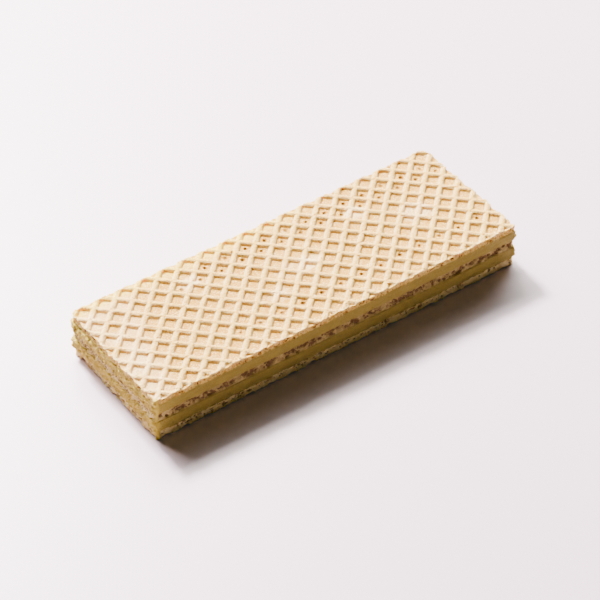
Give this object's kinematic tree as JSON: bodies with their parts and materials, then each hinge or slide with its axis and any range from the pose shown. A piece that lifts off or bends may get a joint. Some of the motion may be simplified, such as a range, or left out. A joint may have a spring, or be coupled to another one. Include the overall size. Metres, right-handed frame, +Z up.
{
  "type": "protein wafer",
  "caption": "Oblong wafer bar for a snack: crisp baked sheets with a raised diamond lattice outside and layers of pale cream between them.",
  "frame": {"origin": "centre of the footprint, on the plane that the lower sheet's lattice rests on", "axes": "+X along the bar's length, +Y across its width, +Z up through the layers"},
  "size_m": [0.1092, 0.0379, 0.0129],
  "materials": {
    "wafer_face": "dry baked, ivory to golden tan, matt and fine-grained",
    "wafer_crumb": "cut porous crumb, pale skins over browner open pits, matt",
    "cream": "soft pale yellow fat cream, slightly waxy"
  },
  "bodies": {
    "root": {"wafer_bottom": "wafer_face", "cream_lower": "cream", "wafer_middle": "wafer_crumb", "cream_upper": "cream", "wafer_top": "wafer_face"}
  },
  "joints": []
}
